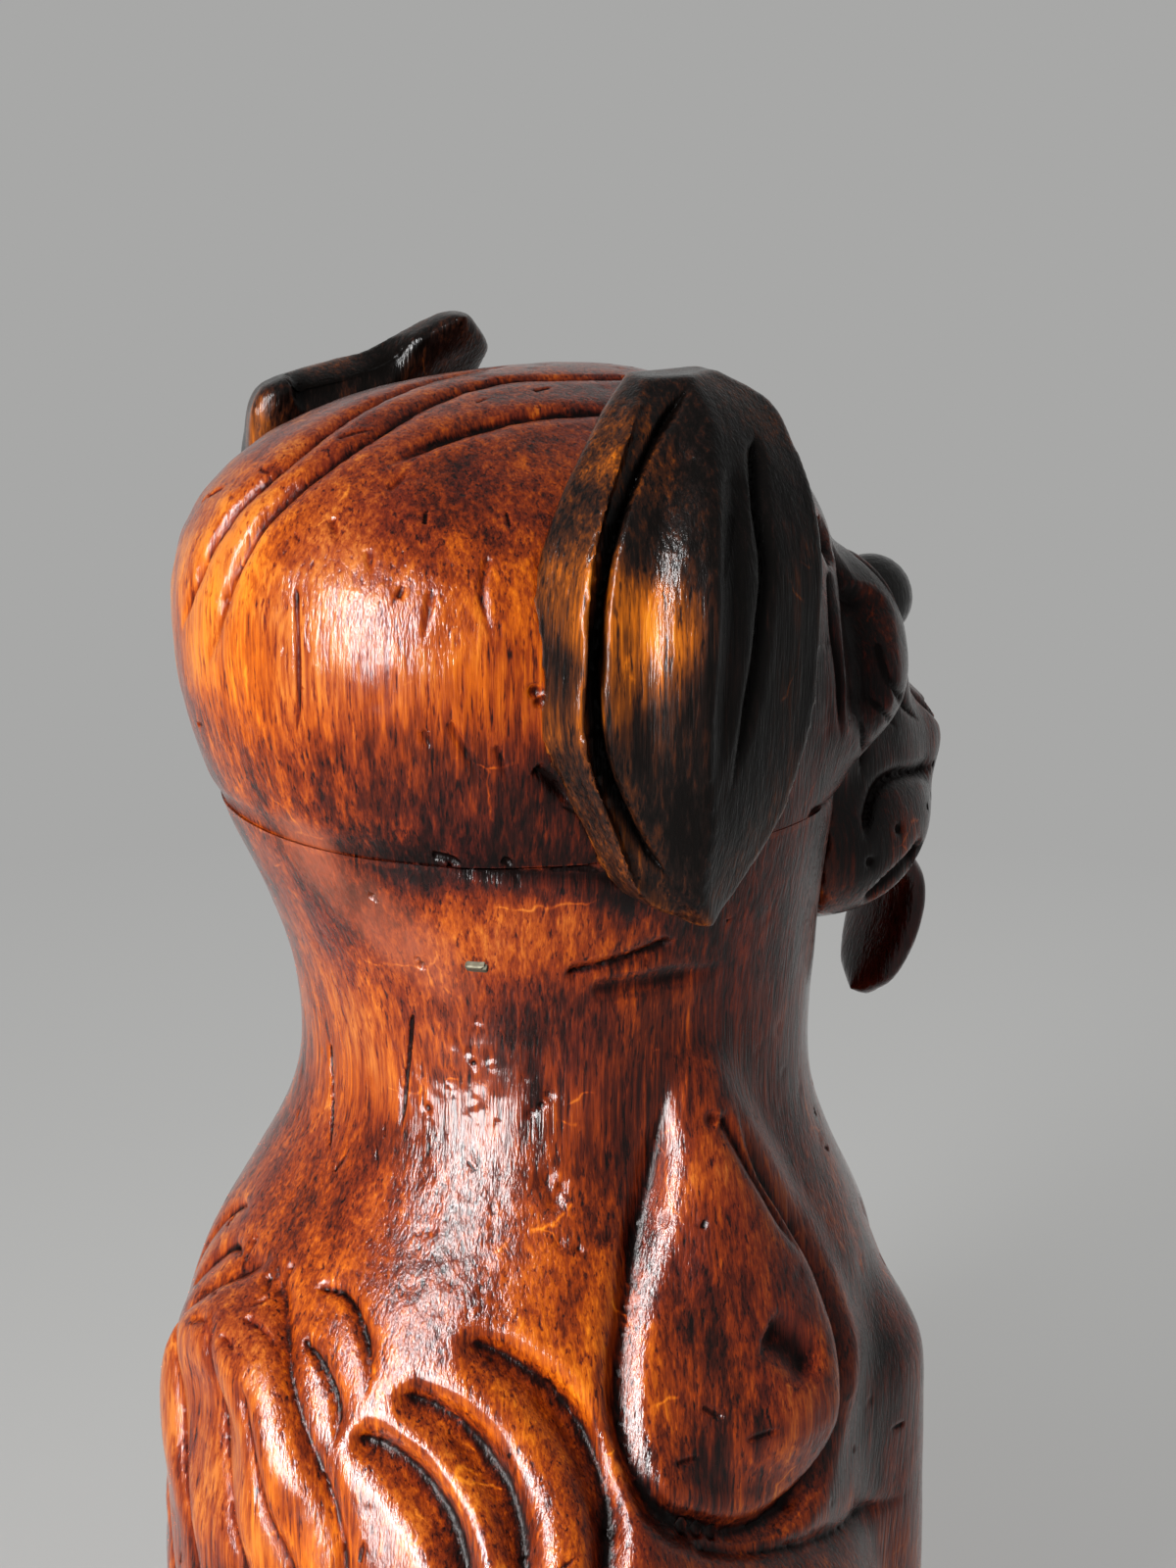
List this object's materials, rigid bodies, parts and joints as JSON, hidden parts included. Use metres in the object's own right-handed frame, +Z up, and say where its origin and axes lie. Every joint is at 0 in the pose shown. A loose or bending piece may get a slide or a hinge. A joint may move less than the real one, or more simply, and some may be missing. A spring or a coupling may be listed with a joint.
{
  "type": "carved wooden dog",
  "caption": "Seated pug-like dog ornament carved in stained, lacquered hardwood, with applied button ears, set-in eyes and a hanging tongue; stands on its flat base.",
  "frame": {"origin": "middle of the flat base, on the axis of the torso block", "axes": "+Z up; the dog faces -Y and its left side is +X"},
  "size_m": [0.116, 0.1331, 0.2415],
  "materials": {
    "stained_wood": "amber to red-brown stain under gloss lacquer",
    "dark_stained_wood": "near-black brown stain under gloss lacquer",
    "black_lacquered_wood": "black, glossy",
    "red_stained_wood": "dark red stain under gloss lacquer",
    "bare_wood": "bare",
    "nail_steel": "dull grey"
  },
  "bodies": {
    "root": {"torso": "stained_wood", "head": "stained_wood", "ear_right": "dark_stained_wood", "ear_left": "dark_stained_wood", "eye_right": "black_lacquered_wood", "eye_left": "black_lacquered_wood", "tongue": "red_stained_wood", "neck_dowel_front": "bare_wood", "neck_dowel_rear": "bare_wood", "ear_dowel_right_upper": "bare_wood", "ear_dowel_right_lower": "bare_wood", "ear_dowel_left_upper": "bare_wood", "ear_dowel_left_lower": "bare_wood", "neck_nail_right": "nail_steel", "neck_nail_left": "nail_steel"}
  },
  "joints": []
}
